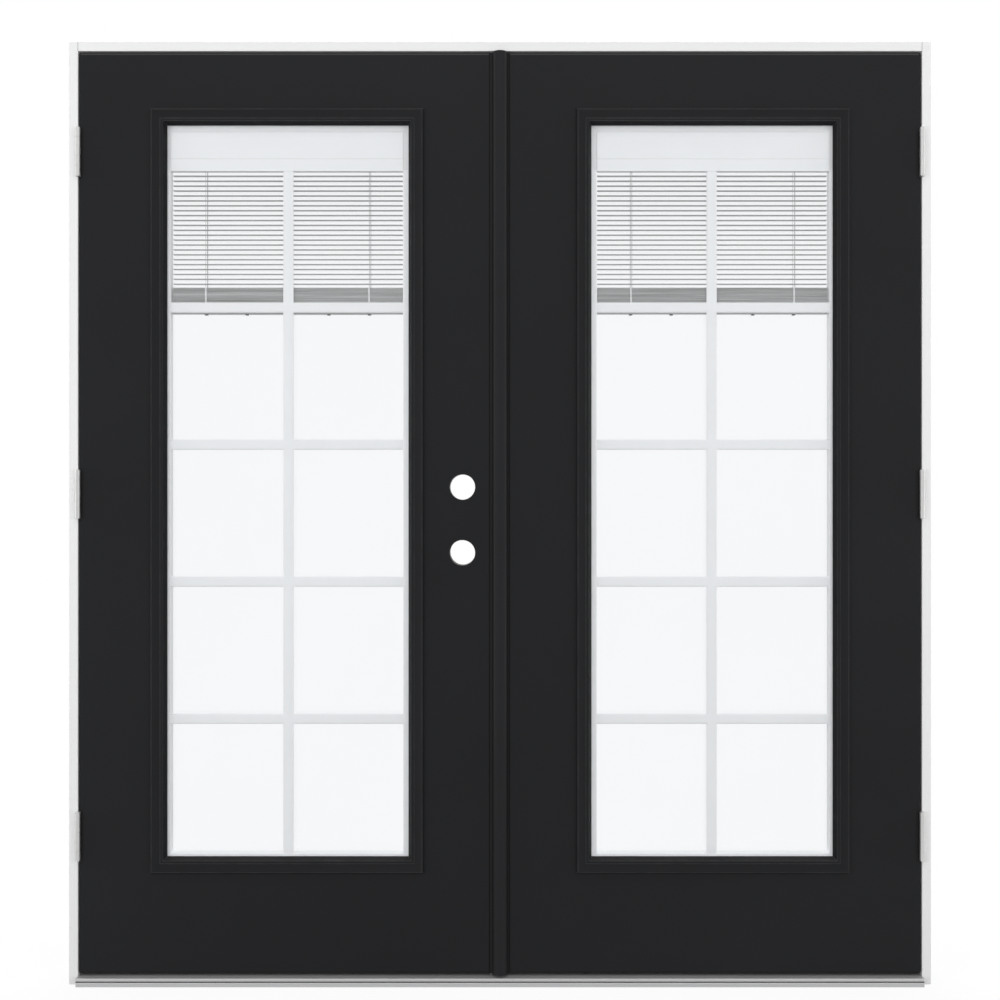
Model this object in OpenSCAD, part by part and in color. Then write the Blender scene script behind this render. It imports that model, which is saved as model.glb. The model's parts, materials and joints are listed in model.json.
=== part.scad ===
// Out-swinging french doors in their frame, without the wall.
// Two leaves with tall lites that hold a grille and an enclosed blind.
// X runs along the opening, Y from outside to inside, Z up from the underside of the sill.

/* [Frame] */
// Overall width of the frame
frame_w = 1828; // [1700:1:2000]
// Overall height of the frame, from the underside of the sill
frame_h = 1998; // [1900:1:2150]
// Depth of the jambs and the head, from outside to inside
jamb_depth = 116; // [105:1:170]
// Thickness of the jambs and the head where they face a leaf's edge
jamb_t = 19; // [18:0.5:28]
// How far the stop stands out past the rabbet
stop_h = 12.5; // [11:0.5:18]
// Width of the kerf that takes the weatherstrip
kerf_w = 3; // [2:0.1:4]
// Depth of the kerf that takes the weatherstrip
kerf_d = 8; // [6:0.5:10]

/* [Sill] */
// How far the sill stands out in front of the jambs
sill_proj = 15; // [8:0.5:40]
// Height of the sill base
sill_base_h = 9.5; // [8:0.5:12]
// Height of the shadow groove between the base and the deck's lip
sill_groove = 2; // [1:0.1:2.5]
// Height of the deck that the leaves pass over
deck_h = 17.5; // [16.5:0.5:24]
// Metal thickness of the deck
deck_t = 2; // [1.5:0.1:2.5]
// Height of the riser that the leaves close against
riser_h = 38; // [34:0.5:60]

/* [Leaves] */
// Thickness of a leaf over its skins
leaf_t = 44.5; // [44:0.1:50]
// Gap between a leaf and the jamb or head
leaf_gap = 3; // [2.5:0.1:4]
// Gap between a leaf and the deck
sill_gap = 6; // [4:0.5:10]
// Space between a shut leaf and the stop, filled by the seals
seal_gap = 3.5; // [3:0.1:6]
// Thickness of the moulded skins
skin_t = 2; // [1.5:0.1:3]
// How far the skins stay back from the leaf's edges
skin_inset = 2.5; // [2.4:0.1:4]
// Chamfer along the edges of the skins
skin_chamfer = 1.2; // [0.4:0.1:1.4]
// Width of the hinge stile inside the leaf
hinge_stile_w = 38; // [34:1:60]
// Width of the lock stile inside the leaf
lock_stile_w = 110; // [95:1:120]
// Height of the top and bottom rails inside the leaf
rail_h = 60; // [40:1:80]
// How far the active leaf's lock edge is bevelled back on the inside
lock_bevel = 2.3; // [1.8:0.1:2.4]

/* [Lock bores] */
// Diameter of the two bores through the lock stile
lock_bore_d = 54; // [40:0.5:56]
// Distance of the bores from the leaf's lock edge
backset = 60.3; // [50:0.1:64]
// Height of the lower bore above the floor
lever_bore_z = 915; // [850:1:1000]
// Distance between the two bores
bore_spacing = 139.7; // [110:0.1:160]
// Diameter of the latch bores in the leaf's edge
edge_bore_d = 25.4; // [20:0.1:26]

/* [Glazed lite] */
// Distance of the lite frame from the leaf's hinge edge
lite_hinge_margin = 150; // [120:1:180]
// Distance of the lite frame from the middle of the opening
lite_centre_margin = 160; // [155:1:190]
// Distance of the lite frame from the leaf's top
lite_top_margin = 118; // [90:1:160]
// Distance of the lite frame from the leaf's bottom
lite_bottom_margin = 211.5; // [150:0.5:260]
// Width of the lite frame's moulding
lite_border = 34.5; // [33:0.5:40]
// How far the moulding stands out from the leaf
lite_proud = 9; // [7:0.5:12]
// Width of the moulding's outer bevel
lite_bevel_w = 6.5; // [4:0.5:8]
// Overlap of the lite frame on the skin
lite_flange = 13; // [12:0.5:14]
// Thickness of the lite frame's wall inside the leaf
lite_wall = 7; // [6:0.5:7.5]
// Thickness of a glass pane
glass_t = 3; // [3:0.5:4]
// Space between the two panes
air_gap = 21; // [20.5:0.5:22]

/* [Grille] */
// Width of a grille bar
bar_w = 22; // [16:0.5:32]
// Thickness of a grille bar
bar_t = 5.5; // [3.5:0.5:5.5]
// Width of the flat middle of a grille bar
bar_flat = 12; // [6:0.5:14]
// Rows of panes in the grille
grille_rows = 5; // [3:1:5]

/* [Blind] */
// Height of the header below the lite frame's lip
header_show = 94; // [70:1:120]
// Wall of the hollow header
header_wall = 2; // [1.5:0.1:3]
// How far the header's cover hangs below the header
header_lip = 2; // [1.5:0.5:5]
// Height of the groove in the header's cover above the header's foot
header_groove = 23; // [15:0.5:40]
// How far the header's cover stays below the top of the header
cover_drop = 15; // [10:0.5:20]
// Width of the hinge-side rail that shows beside the lip
hinge_rail_show = 6; // [4:0.5:15]
// Width of the slider-side rail that shows beside the lip
slider_rail_show = 11.5; // [6:0.5:20]
// Height of the bottom spacer that shows above the lip
spacer_show = 5; // [4:0.5:20]
// Depth of a slat from outside to inside
slat_d = 12.5; // [10:0.5:12.5]
// Rise of a slat's crown
slat_crown = 1.2; // [0.6:0.1:2]
// Thickness of a slat
slat_t = 0.5; // [0.4:0.1:0.8]
// Distance from one hanging slat to the next
slat_pitch = 10.5; // [8:0.5:12]
// Number of hanging slats
slat_count = 23; // [12:1:24]
// Distance from the header's foot to the first slat
slat_drop = 9.5; // [6:0.5:12]
// Distance from the last hanging slat to the stack
stack_gap = 7.5; // [5:0.5:12]
// Height of the stack of gathered slats
stack_h = 36; // [20:1:40]
// Height of the blind's bottom rail
bottom_rail_h = 21; // [18:0.5:30]
// Space between the slats' ends and the side rails
slat_end_gap = 2; // [1:0.5:5]
// Distance of the ladder cords from the lite's middle, as a share of a slat's length
ladder_share = 0.355; // [0.25:0.005:0.42]
// Width of the ladder cords
ladder_w = 1.6; // [1:0.1:3]

/* [Blind slider] */
// Height of the slider's middle above the floor
slider_z = 560; // [540:1:900]
// Length of the slider
slider_len = 60; // [40:1:80]
// How far the slider stands out from its rail's foot
slider_h = 11; // [9:0.5:14]

/* [Hinges] */
// Height of a hinge
hinge_h = 101.6; // [80:0.1:120]
// Width of a hinge plate in its mortise
plate_w = 30; // [24:0.5:34]
// Thickness of a hinge plate
plate_t = 2.2; // [1.8:0.1:2.2]
// Outside diameter of the knuckles
barrel_d = 11; // [10:0.1:11.4]
// Diameter of the hinge pins
pin_d = 6; // [5:0.1:6.5]
// How far the pin's axis stands out from the leaf's face
pin_proud = 6; // [6:0.1:8]
// Distance from the leaf's top to the middle of the top hinge
hinge_top_drop = 212; // [150:1:260]
// Distance from the leaf's bottom to the middle of the bottom hinge
hinge_bottom_rise = 291.5; // [200:0.5:320]
// Diameter of the hinge screws
hinge_screw_d = 4.4; // [3.5:0.1:5]

/* [Astragal and bolts] */
// Width of the half-round nosing
nosing_w = 34.5; // [32:0.5:40]
// How far the nosing stands out from the leaves
nosing_h = 14; // [10:0.5:16]
// Gap between the nosing and the active leaf
meet_gap = 2.25; // [2.2:0.05:3]
// Diameter of the shoot bolts
bolt_d = 10; // [8:0.1:12]
// Length of a shoot bolt
bolt_len = 200; // [150:1:300]
// Travel of a shoot bolt
bolt_travel = 18; // [10:0.5:20]

/* [Hidden] */
$fn = 64;
over = 1; // how far a cut runs past the face that it opens
run_clear = 0.05; // radial clearance of pins and bolts in their bores
slide_clear = 0.3; // clearance of sliding and sealing faces
seat_clear = 0.3; // clearance of pieces let into others
knuckle_clear = 0.3; // end gap between knuckles
hinge_knuckles = 5;

// Planes of the frame
face_y = -jamb_depth / 2;
inside_y = jamb_depth / 2;
back_y = face_y + leaf_t;
stop_y = back_y + seal_gap;
middle_y = face_y + leaf_t / 2;
rabbet_x = frame_w / 2 - jamb_t;
stop_x = rabbet_x - stop_h;
head_z = frame_h - jamb_t;
stop_z = head_z - stop_h;
kerf_in = stop_h * 0.4; // from the rabbet to the middle of the kerf
seal_w = stop_h * 0.7;
seal_h = seal_gap - slide_clear;
seal_end = 1; // gap between the seals along the head or the riser and those on the jambs
nose_y = face_y - sill_proj;

// Edges of a leaf, in the left leaf's place
hinge_x = rabbet_x - leaf_gap;
leaf_top = head_z - leaf_gap;
leaf_bottom = deck_h + sill_gap;
core_y0 = face_y + skin_t;
core_y1 = back_y - skin_t;
stile_in_x = -hinge_x + hinge_stile_w;
function meet_x(side) = side == "left" ? -nosing_w / 2 - meet_gap : -nosing_w / 2;
function stile_x(side) = meet_x(side) - lock_stile_w;
function edge_bevel(side) = side == "left" ? lock_bevel : 0;

// Lock bores
bore_x = meet_x("left") - backset;
bore_heights = [lever_bore_z, lever_bore_z + bore_spacing];

// Lite
lite_x0 = -hinge_x + lite_hinge_margin;
lite_x1 = -lite_centre_margin;
lite_z0 = leaf_bottom + lite_bottom_margin;
lite_z1 = leaf_top - lite_top_margin;
lite_w = lite_x1 - lite_x0;
lite_h = lite_z1 - lite_z0;
lite_cx = (lite_x0 + lite_x1) / 2;
lite_cz = (lite_z0 + lite_z1) / 2;
glass_in = (leaf_t - 2 * glass_t - air_gap) / 2; // depth of a pane behind the leaf's face
wall_s0 = lite_flange + seat_clear; // the moulding's own widths run in from its outer edge
wall_s1 = wall_s0 + lite_wall;
glass_s = wall_s1 + 0.5;
spacer_s = glass_s + 1;
screw_s = (wall_s0 + wall_s1) / 2;
air_y0 = face_y + glass_in + glass_t;
air_y1 = air_y0 + air_gap;

// Moulding of the lite frame
lip_slope_w = 6;
cove_s0 = lite_bevel_w + 2;
bead_r = 3.2;
bead_s = lite_border - lip_slope_w - bead_r;
cove_low = 3.4;
bead_rise = 1.5;
lip_t = 1.5; // height of the lip's edge on the glass
wall_lap = 3; // how far the wall reaches up into the moulding
arc_steps = 8;

// Openings inside the lite
rail_x0 = lite_x0 + lite_border + hinge_rail_show;
rail_x1 = lite_x1 - lite_border - slider_rail_show;
bottom_s = lite_border + spacer_show;
header_s = lite_border - 4;
header_z0 = lite_z1 - lite_border - header_show;
header_z1 = lite_z1 - header_s;
spacer_z = lite_z0 + bottom_s;

// Grille
bar_y = air_y0 + 0.5 + bar_t / 2;
bar_edge_t = 1.6;
grille_z0 = spacer_z - 6;
grille_pitch = (header_z0 - grille_z0) / grille_rows;

// Blind
slat_y = air_y1 - 1.5 - slat_d / 2;
slat_cx = (rail_x0 + rail_x1) / 2;
slat_len = rail_x1 - rail_x0 - 2 * slat_end_gap;
slat_z = header_z0 - slat_drop;
stack_z1 = slat_z - (slat_count - 1) * slat_pitch - stack_gap;
stack_z0 = stack_z1 - stack_h;
bottom_rail_z = stack_z0 - bottom_rail_h;
stack_ridges = 16;
stack_ridge_d = 0.7;
ladder_x = ladder_share * slat_len;
ladder_t = 1; // half of it stands off the slats' edges
button_xs = [-ladder_x, -ladder_x / 2, ladder_x / 2, ladder_x];
button_d = 7;
button_h = 2.2;

// Slider and its rail on the inner lite frame
track_s = bead_s;
track_stem_w = 3;
track_head_w = 6;
track_foot = 2;
track_neck = 7;
track_top = 9;
track_end = 70;

// Hinges
pin_x = -rabbet_x + leaf_gap / 2;
pin_y = face_y - pin_proud;
top_hinge_z = leaf_top - hinge_top_drop;
bottom_hinge_z = leaf_bottom + hinge_bottom_rise;
hinge_zs = [bottom_hinge_z, (bottom_hinge_z + top_hinge_z) / 2, top_hinge_z];
knuckle_h = hinge_h / hinge_knuckles;
plate_y1 = face_y + plate_w;
pin_cap_h = 1.6;
screw_head_d = hinge_screw_d * 1.8;
jamb_screw_len = jamb_t - plate_t - 2;
stile_screw_len = hinge_stile_w - plate_t - 8;
hinge_screw_spots = [[-0.35, 0.62], [0, 0.38], [0.35, 0.62]]; // shares of the hinge's height and plate

// Astragal
nosing_r = (nosing_w * nosing_w / 4 + nosing_h * nosing_h) / (2 * nosing_h);
web_x0 = -nosing_w / 2 + 1.25;
web_y0 = face_y + 1.25;
web_taper = 1.5;
bolt_y = middle_y + 4;
bolt_sink = 0.5; // how far a drawn bolt's end stays inside the astragal
tab_w = 6;
tab_h = 12;
tab_end = 24; // from the bolt's inner end to the middle of its tab
slot_w = tab_w + 2 * slide_clear;
seal_y0 = face_y + 7;
seal_y1 = face_y + 14;
strike_d = bolt_d + 1;

// Screws that clamp the lite frames
lite_screw_d = 3.8;
lite_screw_head_d = 7;
lite_screw_head_h = 2.2;
lite_screw_seat = 1; // height of the head's seat above the leaf's inside face
lite_screw_tip = 4; // distance of the screw's tip from the leaf's outside face
lite_screw_end = 90;
lite_screw_rows = 5;

// Colours
frame_white = [0.93, 0.93, 0.93];
leaf_black = [0.17, 0.17, 0.18];
blind_white = [0.92, 0.92, 0.92];
seal_dark = [0.12, 0.12, 0.12];
sill_metal = [0.68, 0.68, 0.69];
hinge_metal = [0.78, 0.78, 0.77];
core_foam = [0.86, 0.80, 0.62];
pane_tint = [0.90, 0.94, 0.96, 0.35];
screw_steel = [0.62, 0.62, 0.63];

// Helpers: sections extruded along one axis, between two places on it
module along_x(x0, x1) { translate([x0, 0, 0]) rotate([90, 0, 90]) linear_extrude(x1 - x0) children(); }
module along_y(y0, y1) { translate([0, y1, 0]) rotate([90, 0, 0]) linear_extrude(y1 - y0) children(); }
module along_z(z0, z1) { translate([0, 0, z0]) linear_extrude(z1 - z0) children(); }
module box(low, high) { translate(low) cube(high - low); }
module rect(low, high) { translate(low) square(high - low); }

// Every leaf is drawn in the left leaf's place, and the right one is its mirror image
module on_side(side) {
  if (side == "right") mirror([1, 0, 0]) children();
  else children();
}

// Both sides of the frame
module both_sides() {
  for (side = ["left", "right"]) on_side(side) children();
}

// Round parts along X and Y
module rod_x(x0, x1, d, y, z) { translate([x0, y, z]) rotate([0, 90, 0]) cylinder(h = x1 - x0, d = d); }
module rod_y(y0, y1, d, x, z) { translate([x, y1, z]) rotate([90, 0, 0]) cylinder(h = y1 - y0, d = d); }

// Frame

module jamb(side) {
  kerf_x = -rabbet_x + kerf_in;
  color(frame_white) on_side(side) difference() {
    along_z(0, frame_h) polygon([
      [-frame_w / 2, face_y], [-rabbet_x, face_y], [-rabbet_x, stop_y],
      [kerf_x - kerf_w / 2, stop_y], [kerf_x - kerf_w / 2, stop_y + kerf_d],
      [kerf_x + kerf_w / 2, stop_y + kerf_d], [kerf_x + kerf_w / 2, stop_y],
      [-stop_x, stop_y], [-stop_x, inside_y], [-frame_w / 2, inside_y]
    ]);
    for (z = hinge_zs) {
      box([-rabbet_x - plate_t, face_y - over, z - hinge_h / 2 - seat_clear],
          [-rabbet_x + over, plate_y1 + seat_clear, z + hinge_h / 2 + seat_clear]);
      for (spot = hinge_screw_spots)
        rod_x(-rabbet_x - plate_t - jamb_screw_len - over, -rabbet_x, hinge_screw_d + 2 * run_clear,
              face_y + spot[1] * plate_w, z + spot[0] * hinge_h);
    }
  }
}

module head_jamb() {
  kerf_z = head_z - kerf_in;
  color(frame_white) difference() {
    union() {
      along_x(-rabbet_x, rabbet_x) rect([face_y, head_z], [stop_y, frame_h]);
      along_x(-stop_x, stop_x) difference() {
        rect([stop_y, stop_z], [inside_y, frame_h]);
        rect([stop_y - over, kerf_z - kerf_w / 2], [stop_y + kerf_d, kerf_z + kerf_w / 2]);
      }
    }
    translate([0, bolt_y, head_z - over]) cylinder(h = jamb_t + 2 * over, d = strike_d);
  }
}

// The sill is let in between the jambs and their stops
module between_jambs() {
  intersection() {
    along_x(-rabbet_x, rabbet_x) children();
    union() {
      box([-rabbet_x, nose_y - over, -over], [rabbet_x, stop_y, riser_h + over]);
      box([-stop_x, nose_y - over, -over], [stop_x, inside_y + over, riser_h + over]);
    }
  }
}

module sill_base() {
  nose_chamfer = 1;
  color(sill_metal) difference() {
    between_jambs() polygon([
      [nose_y, 0], [inside_y, 0], [inside_y, sill_base_h],
      [nose_y + nose_chamfer, sill_base_h], [nose_y, sill_base_h - nose_chamfer]
    ]);
    translate([0, bolt_y, -over]) cylinder(h = sill_base_h + 2 * over, d = strike_d);
  }
}

module sill_cover() {
  lip_y = nose_y + 1;
  lip_z = sill_base_h + sill_groove;
  round = 1.3;
  apron_w = 18; // the deck's inside slope
  apron_y = inside_y - apron_w;
  apron_drop = 8;
  rib_ys = [face_y + 6, stop_y - 8, stop_y + 20]; // feet that stand on the base
  color(sill_metal) difference() {
    union() {
      between_jambs() polygon([
        [lip_y, lip_z], [lip_y, deck_h - round], [lip_y + round, deck_h], [stop_y, deck_h],
        [stop_y, riser_h - round], [stop_y + round, riser_h], [apron_y, riser_h],
        [inside_y, riser_h - apron_drop], [inside_y, sill_base_h],
        [inside_y - deck_t, sill_base_h], [inside_y - deck_t, riser_h - apron_drop - deck_t / 2],
        [apron_y, riser_h - deck_t], [stop_y + deck_t, riser_h - deck_t],
        [stop_y + deck_t, deck_h - deck_t], [lip_y + deck_t, deck_h - deck_t], [lip_y + deck_t, lip_z]
      ]);
      for (y = rib_ys) {
        top = y > stop_y ? riser_h : deck_h;
        between_jambs() rect([y, sill_base_h], [y + deck_t, top - deck_t / 2]);
      }
    }
    translate([0, bolt_y, sill_base_h - over]) cylinder(h = deck_h, d = strike_d);
  }
}

// Outline of a seal on a stop: distance from the rabbet, height off the stop.
// A stem deeper than 0 goes into the kerf.
function seal_outline(edge, w, h, stem_w, stem_d) = concat(
  [
    [edge, 0], [edge, h * 0.6], [edge + h * 0.4, h],
    [edge + w - h * 0.4, h], [edge + w, h * 0.6], [edge + w, 0]
  ],
  stem_d == 0 ? [] : [
    [kerf_in + stem_w / 2, 0], [kerf_in + stem_w / 2, -stem_d],
    [kerf_in - stem_w / 2, -stem_d], [kerf_in - stem_w / 2, 0]
  ]
);

module frame_weatherstrip() {
  strip = seal_outline(kerf_in - seal_w / 2, seal_w, seal_h, kerf_w - 2 * slide_clear, kerf_d - 1);
  color(seal_dark) {
    both_sides() along_z(deck_h + slide_clear, head_z - slide_clear)
      polygon([for (p = strip) [-rabbet_x + p[0], stop_y - p[1]]]);
    along_x(-stop_x + seal_end, stop_x - seal_end)
      polygon([for (p = strip) [stop_y - p[1], head_z - p[0]]]);
  }
}

module sill_bumper() {
  bumper = seal_outline(0, seal_w, seal_h, 0, 0);
  color(seal_dark) along_x(-stop_x + seal_end, stop_x - seal_end)
    polygon([for (p = bumper) [stop_y - p[1], riser_h - 2 - p[0]]]);
}

// Hinges

// Turned screw with a flat countersunk head: head in a plate, shank of a given length
module countersunk(shank_len, grow = 0) {
  rotate_extrude() polygon([
    [0, 0], [screw_head_d / 2 + grow, 0], [hinge_screw_d / 2 + grow, plate_t],
    [hinge_screw_d / 2 + grow, plate_t + shank_len], [0, plate_t + shank_len]
  ]);
}

// Screws of one plate, from its open face, outwards for the frame and inwards for a leaf
module plate_screws(open_x, turn, shank_len, grow = 0) {
  for (spot = hinge_screw_spots)
    translate([open_x, face_y + spot[1] * plate_w, spot[0] * hinge_h])
      rotate([0, turn, 0]) countersunk(shank_len, grow);
}

// One half of a hinge, centred on its own height: a plate and the knuckles that it carries
module hinge_half(plate_x, knuckles, open_x, turn) {
  difference() {
    union() {
      box([plate_x, face_y, -hinge_h / 2], [plate_x + plate_t, plate_y1, hinge_h / 2]);
      for (k = knuckles) {
        z0 = -hinge_h / 2 + k * knuckle_h + knuckle_clear / 2;
        z1 = z0 + knuckle_h - knuckle_clear;
        box([plate_x, pin_y, z0], [plate_x + plate_t, face_y + over, z1]);
        translate([pin_x, pin_y, z0]) cylinder(h = z1 - z0, d = barrel_d);
      }
    }
    translate([pin_x, pin_y, -hinge_h]) cylinder(h = 2 * hinge_h, d = pin_d + 2 * run_clear);
    plate_screws(open_x, turn, over, run_clear);
  }
}

module at_hinges() {
  for (z = hinge_zs) translate([0, 0, z]) children();
}

module frame_hinge_leaves(side) {
  color(hinge_metal) on_side(side) at_hinges()
    hinge_half(-rabbet_x - plate_t, [0, 2, 4], -rabbet_x, -90);
}

module door_hinge_leaves(side) {
  color(hinge_metal) on_side(side) at_hinges() hinge_half(-hinge_x, [1, 3], -hinge_x, 90);
}

module frame_hinge_screws() {
  color(screw_steel) both_sides() at_hinges() plate_screws(-rabbet_x, -90, jamb_screw_len);
}

module door_hinge_screws(side) {
  color(screw_steel) on_side(side) at_hinges() plate_screws(-hinge_x, 90, stile_screw_len);
}

module hinge_pins() {
  cap_z = (hinge_h - knuckle_clear) / 2;
  cap_r = barrel_d / 2 - 0.3;
  half_pin = [
    [pin_d / 2, 0], [pin_d / 2, cap_z], [cap_r, cap_z], [cap_r, cap_z + pin_cap_h / 2],
    [cap_r - pin_cap_h / 2, cap_z + pin_cap_h], [0, cap_z + pin_cap_h]
  ];
  lower_half = [for (i = [len(half_pin) - 1 : -1 : 1]) [half_pin[i][0], -half_pin[i][1]]];
  color(hinge_metal) both_sides() at_hinges() translate([pin_x, pin_y, 0])
    rotate_extrude() polygon(concat(lower_half, half_pin));
}

// Leaves

// Hole through the leaf for the lite
module lite_cutout() {
  box([lite_x0 + lite_flange, face_y - over, lite_z0 + lite_flange],
      [lite_x1 - lite_flange, back_y + over, lite_z1 - lite_flange]);
}

module lock_bores() {
  for (z = bore_heights) rod_y(face_y - over, back_y + over, lock_bore_d, bore_x, z);
}

// A skin drawn as the outer one: a sheet whose edges are chamfered on its open face
module skin(side) {
  x0 = -hinge_x + skin_inset;
  x1 = meet_x(side) - skin_inset;
  z0 = leaf_bottom + skin_inset;
  z1 = leaf_top - skin_inset;
  edge_y = face_y + skin_chamfer;
  difference() {
    intersection() {
      along_z(z0, z1) polygon([
        [x0, core_y0], [x0, edge_y], [x0 + skin_chamfer, face_y],
        [x1 - skin_chamfer, face_y], [x1, edge_y], [x1, core_y0]
      ]);
      along_x(x0, x1) polygon([
        [core_y0, z0], [edge_y, z0], [face_y, z0 + skin_chamfer],
        [face_y, z1 - skin_chamfer], [edge_y, z1], [core_y0, z1]
      ]);
    }
    lite_cutout();
    if (side == "left") lock_bores();
  }
}

// Turns what is drawn on the outside of a leaf to its inside
module on_inside() {
  translate([0, face_y + back_y, 0]) mirror([0, 1, 0]) children();
}

module outer_skin(side) {
  color(leaf_black) on_side(side) skin(side);
}

module inner_skin(side) {
  color(leaf_black) on_side(side) on_inside() skin(side);
}

module hinge_stile(side) {
  color(leaf_black) on_side(side) difference() {
    box([-hinge_x, core_y0, leaf_bottom], [stile_in_x, core_y1, leaf_top]);
    at_hinges() {
      box([-hinge_x - over, face_y - over, -hinge_h / 2 - seat_clear],
          [-hinge_x + plate_t, plate_y1 + seat_clear, hinge_h / 2 + seat_clear]);
      plate_screws(-hinge_x, 90, stile_screw_len + over, run_clear);
    }
  }
}

// The stile on the meeting edge, bevelled and bored for locks on the active leaf
module meeting_stile(side) {
  edge = meet_x(side);
  color(leaf_black) on_side(side) difference() {
    along_z(leaf_bottom, leaf_top) polygon([
      [stile_x(side), core_y0], [edge, core_y0],
      [edge - edge_bevel(side), core_y1], [stile_x(side), core_y1]
    ]);
    if (side == "left") {
      lock_bores();
      for (z = bore_heights) rod_x(bore_x, edge + over, edge_bore_d, middle_y, z);
    }
  }
}

module inner_rail(side, z0) {
  color(leaf_black) on_side(side)
    box([stile_in_x, core_y0, z0], [stile_x(side), core_y1, z0 + rail_h]);
}

module core(side) {
  color(core_foam) on_side(side) difference() {
    box([stile_in_x, core_y0, leaf_bottom + rail_h], [stile_x(side), core_y1, leaf_top - rail_h]);
    lite_cutout();
  }
}

module door_sweep(side) {
  fin_y = middle_y + 6;
  foot_w = 12;
  foot_h = 1.6;
  fin_w = 3;
  color(seal_dark) on_side(side)
    along_x(-hinge_x + 2 * skin_inset, meet_x(side) - 2 * skin_inset) polygon([
      [fin_y - foot_w / 2, leaf_bottom], [fin_y + foot_w / 2, leaf_bottom],
      [fin_y + foot_w / 2, leaf_bottom - foot_h], [fin_y + fin_w / 2, leaf_bottom - foot_h],
      [fin_y + fin_w / 4, deck_h + slide_clear], [fin_y - fin_w / 4, deck_h + slide_clear],
      [fin_y - fin_w / 2, leaf_bottom - foot_h], [fin_y - foot_w / 2, leaf_bottom - foot_h]
    ]);
}

// Glazed lite

// Moulding of a lite frame: distance in from its outer edge, height off the leaf's face
lite_moulding = concat(
  [[0, 0], [0, 1.2], [lite_bevel_w, lite_proud]],
  [for (i = [0 : arc_steps]) let (t = i / arc_steps)
    [cove_s0 + (bead_s - bead_r - cove_s0) * t, lite_proud - (lite_proud - cove_low) * sin(90 * t)]],
  [for (i = [1 : arc_steps - 1]) let (a = 180 * i / arc_steps)
    [bead_s - bead_r * cos(a), cove_low + bead_rise * sin(a)]],
  [
    [bead_s + bead_r, cove_low], [lite_border, lip_t - glass_in], [lite_border, -glass_in],
    [wall_s0, -glass_in], [wall_s0, 0]
  ]
);

// One side of a lite frame, lying along X with its outer edge at Z = 0 and its ends mitred
module moulding_side(side_len) {
  reach = lite_border + over;
  intersection() {
    along_x(-side_len / 2, side_len / 2) polygon([for (p = lite_moulding) [face_y - p[1], p[0]]]);
    along_y(face_y - lite_proud - over, back_y) polygon([
      [-side_len / 2, 0], [side_len / 2, 0], [side_len / 2 - reach, reach], [reach - side_len / 2, reach]
    ]);
  }
}

// The wall inside the leaf, one ring that laps into all four sides
module lite_wall_ring() {
  along_y(face_y + glass_in - wall_lap, middle_y) difference() {
    rect([lite_x0 + wall_s0, lite_z0 + wall_s0], [lite_x1 - wall_s0, lite_z1 - wall_s0]);
    rect([lite_x0 + wall_s1, lite_z0 + wall_s1], [lite_x1 - wall_s1, lite_z1 - wall_s1]);
  }
}

module lite_frame() {
  lite_wall_ring();
  translate([lite_cx, 0, lite_cz]) {
    for (turn = [0, 180]) rotate([0, turn, 0]) translate([0, 0, -lite_h / 2]) moulding_side(lite_w);
    for (turn = [90, 270]) rotate([0, turn, 0]) translate([0, 0, -lite_w / 2]) moulding_side(lite_h);
  }
}

// Places of the screws that clamp the two lite frames
function evenly(a, b, n) = [for (i = [0 : n - 1]) a + (b - a) * i / (n - 1)];
lite_screw_xz = concat(
  [for (x = [lite_x0 + screw_s, lite_x1 - screw_s])
    for (z = evenly(lite_z0 + lite_screw_end, lite_z1 - lite_screw_end, lite_screw_rows)) [x, z]],
  [for (x = [lite_x0 + lite_screw_end, lite_x1 - lite_screw_end])
    for (z = [lite_z0 + screw_s, lite_z1 - screw_s]) [x, z]]
);

module at_lite_screws() {
  for (spot = lite_screw_xz) translate([spot[0], back_y + lite_screw_seat, spot[1]]) children();
}

// Clearance for a lite screw: its shank, and its head with the way in to it
module lite_screw_hole() {
  shank_len = leaf_t + lite_screw_seat - lite_screw_tip;
  rotate([90, 0, 0]) cylinder(h = shank_len + over, d = lite_screw_d + 2 * run_clear);
  rotate([-90, 0, 0]) cylinder(h = lite_proud + over, d = lite_screw_head_d + 2 * seat_clear);
}

module outer_lite_frame(side) {
  color(leaf_black) on_side(side) difference() {
    lite_frame();
    at_lite_screws() lite_screw_hole();
  }
}

// The inner lite frame also carries the rail of the blind's slider
module inner_lite_frame(side) {
  track_x = lite_x1 - track_s;
  color(leaf_black) on_side(side) difference() {
    union() {
      on_inside() lite_frame();
      along_z(lite_z0 + track_end, lite_z1 - track_end) {
        rect([track_x - track_stem_w / 2, back_y + track_foot],
             [track_x + track_stem_w / 2, back_y + track_neck]);
        rect([track_x - track_head_w / 2, back_y + track_neck],
             [track_x + track_head_w / 2, back_y + track_top]);
      }
    }
    at_lite_screws() lite_screw_hole();
  }
}

module lite_screws(side) {
  head_r = lite_screw_head_d / 2;
  shank_len = leaf_t + lite_screw_seat - lite_screw_tip;
  color(screw_steel) on_side(side) at_lite_screws() rotate([-90, 0, 0]) rotate_extrude() polygon([
    [0, -shank_len], [lite_screw_d / 2, -shank_len + lite_screw_d / 2], [lite_screw_d / 2, 0],
    [head_r, 0], [head_r, lite_screw_head_h / 2],
    [head_r - lite_screw_head_h / 2, lite_screw_head_h], [0, lite_screw_head_h]
  ]);
}

module pane(y0) {
  box([lite_x0 + glass_s, y0, lite_z0 + glass_s], [lite_x1 - glass_s, y0 + glass_t, lite_z1 - glass_s]);
}

module outer_glass(side) {
  color(pane_tint) on_side(side) pane(air_y0 - glass_t);
}

module inner_glass(side) {
  color(pane_tint) on_side(side) pane(air_y1);
}

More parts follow.
